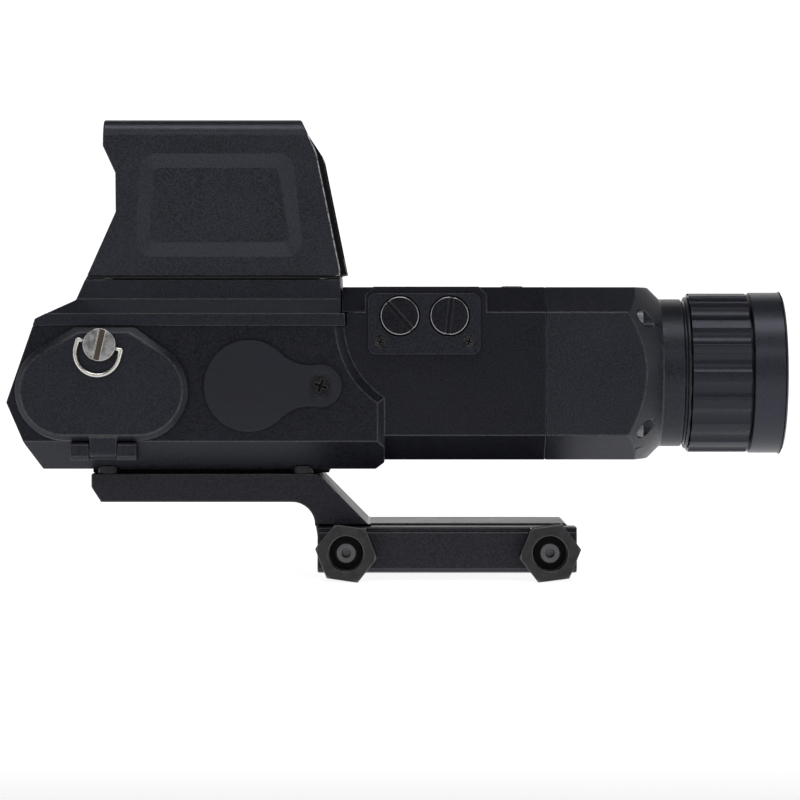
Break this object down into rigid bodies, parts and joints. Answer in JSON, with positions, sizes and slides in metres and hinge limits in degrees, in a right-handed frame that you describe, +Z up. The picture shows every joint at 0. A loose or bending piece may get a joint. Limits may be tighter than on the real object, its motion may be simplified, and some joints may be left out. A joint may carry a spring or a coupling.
{
  "type": "electronic red dot sight",
  "caption": "Rail-mounted electronic red dot sight: hooded slanted window on a battery housing, focusing imaging tube in front, cantilever riser with a rail clamp.",
  "frame": {"origin": "centre of the rail seat, midway between the two cross bolts", "axes": "+X along the lens axis to the objective, +Z up, -Y the side with the controls and the battery door"},
  "size_m": [0.193, 0.0558, 0.1141],
  "materials": {
    "housing_black": "bead-blasted black anodised, fine speckle",
    "hood_black": "bead-blasted black anodised",
    "mount_black": "black anodised, slightly smoother",
    "door_black": "bead-blasted black anodised",
    "ring_black": "black anodised, machined flutes",
    "oxide_steel": "black oxide, semi-gloss, bright edges",
    "dark_screw": "black zinc",
    "bright_steel": "turned bright steel",
    "dial_black": "black anodised, turned, bright rim",
    "rubber_black": "moulded matte rubber",
    "seal_rubber": "moulded rubber",
    "button_rubber": "moulded matte rubber",
    "window_glass": "coated flat glass",
    "lens_glass": "coated lens glass",
    "mirror": "front-surface mirror",
    "frame_black": "matte black paint",
    "board_green": "glass-fibre board with solder mask",
    "contact_gold": "gold plated",
    "cell_wrap": "shrink wrap",
    "bracket_black": "moulded"
  },
  "bodies": {
    "housing": {"main_housing": "housing_black", "front_housing": "housing_black", "front_housing_screws": "dark_screw", "hood_base": "housing_black", "hood_base_screws": "dark_screw", "hood": "hood_black", "hood_screws": "dark_screw", "front_window": "window_glass", "window_frame": "frame_black", "rear_window": "window_glass", "rear_window_seal": "seal_rubber", "display_module": "board_green", "projection_lens": "lens_glass", "fold_mirror": "mirror", "optics_bracket": "bracket_black", "main_circuit_board": "board_green", "usb_port": "bright_steel", "sensor_bulkhead": "bracket_black", "sensor_module": "board_green", "battery_cells": "cell_wrap", "battery_springs": "contact_gold", "door_seal": "seal_rubber", "door_hinge_block": "door_black", "door_hinge_pin": "bright_steel", "port_cover_tail": "rubber_black", "port_cover_screw": "dark_screw", "adjuster_plate": "housing_black", "adjuster_plate_screws": "dark_screw", "dial_seals": "seal_rubber", "button_board": "board_green", "lens_barrel": "ring_black", "objective_bell": "ring_black", "riser": "mount_black", "riser_spacer": "frame_black", "riser_screws": "oxide_steel", "spacer_screws": "oxide_steel", "cross_bolts": "oxide_steel"},
    "battery_door": {"battery_door": "door_black", "door_contacts": "contact_gold", "latch_clip": "bright_steel"},
    "latch_screw": {"latch_screw": "bright_steel"},
    "d_ring": {"d_ring": "bright_steel"},
    "port_flap": {"port_cover_flap": "rubber_black"},
    "windage_dial": {"windage_dial": "dial_black"},
    "elevation_dial": {"elevation_dial": "dial_black"},
    "button_rear": {"button_rear": "button_rubber"},
    "button_middle": {"button_middle": "button_rubber"},
    "button_far": {"button_far": "button_rubber"},
    "focus_ring": {"focus_ring": "ring_black"},
    "lens_cell": {"lens_cell": "frame_black", "focus_drive_pin": "bright_steel", "front_lens": "lens_glass", "rear_lens": "lens_glass", "lens_retaining_ring": "frame_black"},
    "clamp_jaw": {"clamp_jaw": "mount_black", "clamp_washers": "oxide_steel"},
    "clamp_nut_rear": {"clamp_nut_rear": "oxide_steel"},
    "clamp_nut_front": {"clamp_nut_front": "oxide_steel"}
  },
  "joints": [
    {"name": "battery_door_hinge", "type": "hinge", "parent": "housing", "child": "battery_door", "pos_m": [-0.0845, -0.0265, 0.024], "axis": [1, 0, 0], "range_deg": [0, 110]},
    {"name": "latch_screw_turn", "type": "hinge", "parent": "battery_door", "child": "latch_screw", "pos_m": [-0.0853, -0.0282, 0.0502], "axis": [0, 1, 0], "range_deg": [0, 90]},
    {"name": "d_ring_fold", "type": "hinge", "parent": "latch_screw", "child": "d_ring", "pos_m": [-0.0853, -0.0293, 0.0502], "axis": [-0.9694, 0, 0.2453], "range_deg": [0, 100]},
    {"name": "port_flap_peel", "type": "hinge", "parent": "housing", "child": "port_flap", "pos_m": [-0.0382, -0.02645, 0.0401], "axis": [0, 0, 1], "range_deg": [0, 110], "stiffness_Nm_per_rad": 0.004},
    {"name": "windage_dial_turn", "type": "hinge", "parent": "housing", "child": "windage_dial", "pos_m": [-0.01185, -0.023, 0.0573], "axis": [0, 1, 0], "continuous": true},
    {"name": "elevation_dial_turn", "type": "hinge", "parent": "housing", "child": "elevation_dial", "pos_m": [0.0004, -0.023, 0.0573], "axis": [0, 1, 0], "continuous": true},
    {"name": "button_rear_press", "type": "slide", "parent": "housing", "child": "button_rear", "axis": [0, 0, -1], "range_m": [0, 0.0006], "stiffness_N_per_m": 600, "springref_m": -0.0005},
    {"name": "button_middle_press", "type": "slide", "parent": "housing", "child": "button_middle", "axis": [0, 0, -1], "range_m": [0, 0.0006], "stiffness_N_per_m": 600, "springref_m": -0.0005},
    {"name": "button_far_press", "type": "slide", "parent": "housing", "child": "button_far", "axis": [0, 0, -1], "range_m": [0, 0.0006], "stiffness_N_per_m": 600, "springref_m": -0.0005},
    {"name": "focus_ring_turn", "type": "hinge", "parent": "housing", "child": "focus_ring", "pos_m": [0.068, 0, 0.043], "axis": [1, 0, 0], "range_deg": [0, 270]},
    {"name": "lens_cell_slide", "type": "slide", "parent": "housing", "child": "lens_cell", "axis": [1, 0, 0], "range_m": [0, 0.003]},
    {"name": "clamp_jaw_slide", "type": "slide", "parent": "housing", "child": "clamp_jaw", "axis": [0, -1, 0], "range_m": [0, 0.0024]},
    {"name": "clamp_nut_rear_turn", "type": "hinge", "parent": "clamp_jaw", "child": "clamp_nut_rear", "pos_m": [-0.02502, -0.025, -0.001], "axis": [0, 1, 0], "range_deg": [0, 1080]},
    {"name": "clamp_nut_front_turn", "type": "hinge", "parent": "clamp_jaw", "child": "clamp_nut_front", "pos_m": [0.02502, -0.025, -0.001], "axis": [0, 1, 0], "range_deg": [0, 1080]}
  ],
  "couplings": [
    {"joint": "focus_ring_turn", "follows": "lens_cell_slide", "rad_per_m": 1570.8},
    {"joint": "clamp_nut_rear_turn", "follows": "clamp_jaw_slide", "rad_per_m": 7853.9},
    {"joint": "clamp_nut_front_turn", "follows": "clamp_jaw_slide", "rad_per_m": 7853.9}
  ]
}
